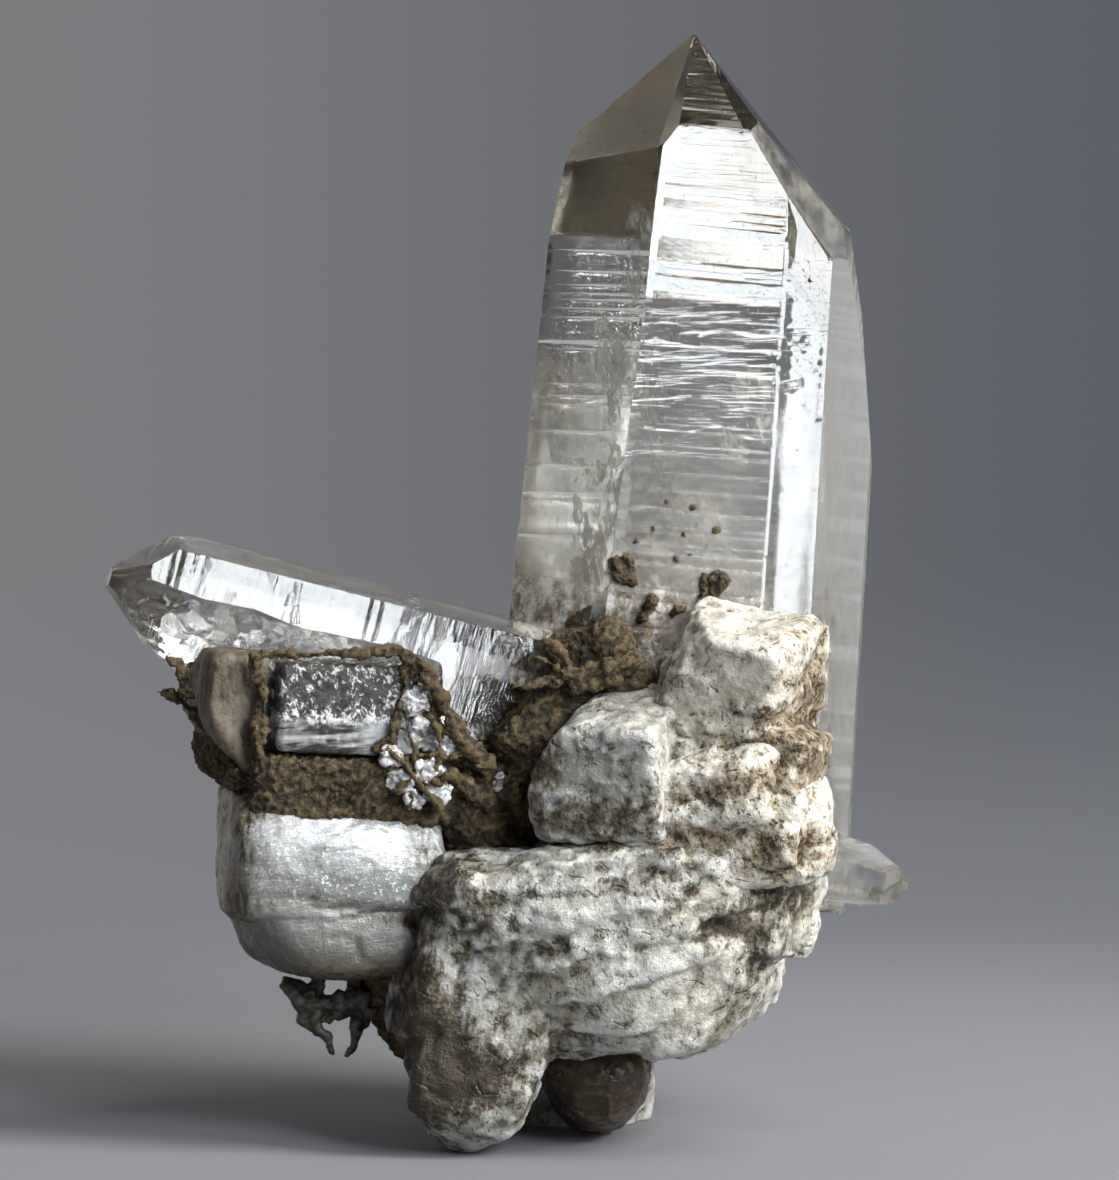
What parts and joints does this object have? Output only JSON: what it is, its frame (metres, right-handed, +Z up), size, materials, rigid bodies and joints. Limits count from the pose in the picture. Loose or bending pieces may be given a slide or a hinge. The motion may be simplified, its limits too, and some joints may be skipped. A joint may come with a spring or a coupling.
{
  "type": "himalayan quartz crystal specimen",
  "caption": "Clear quartz crystals standing on a natural feldspar matrix with an iron-stained crust, a display mineral specimen.",
  "frame": {"origin": "middle of the specimen's bounding box, on the surface that it stands on", "axes": "+X to the viewer's right, +Y away from the viewer of the picture, +Z up, close to the tall crystal's long axis"},
  "size_m": [0.0803, 0.0467, 0.1104],
  "materials": {
    "tall_quartz_crystal": "polished",
    "side_quartz_crystal": "polished",
    "feldspar_matrix": "matte",
    "silky_feldspar_block": "satin",
    "etched_feldspar_block": "satin",
    "iron_stained_crust": "matte",
    "smoky_quartz_lump": "gloss",
    "lacy_mica_flake": "satin"
  },
  "bodies": {
    "root": {"tall_quartz_crystal": "tall_quartz_crystal", "side_quartz_crystal": "side_quartz_crystal", "feldspar_matrix": "feldspar_matrix", "silky_feldspar_block": "silky_feldspar_block", "etched_feldspar_block": "etched_feldspar_block", "iron_stained_crust": "iron_stained_crust", "smoky_quartz_lump": "smoky_quartz_lump", "lacy_mica_flake": "lacy_mica_flake"}
  },
  "joints": []
}
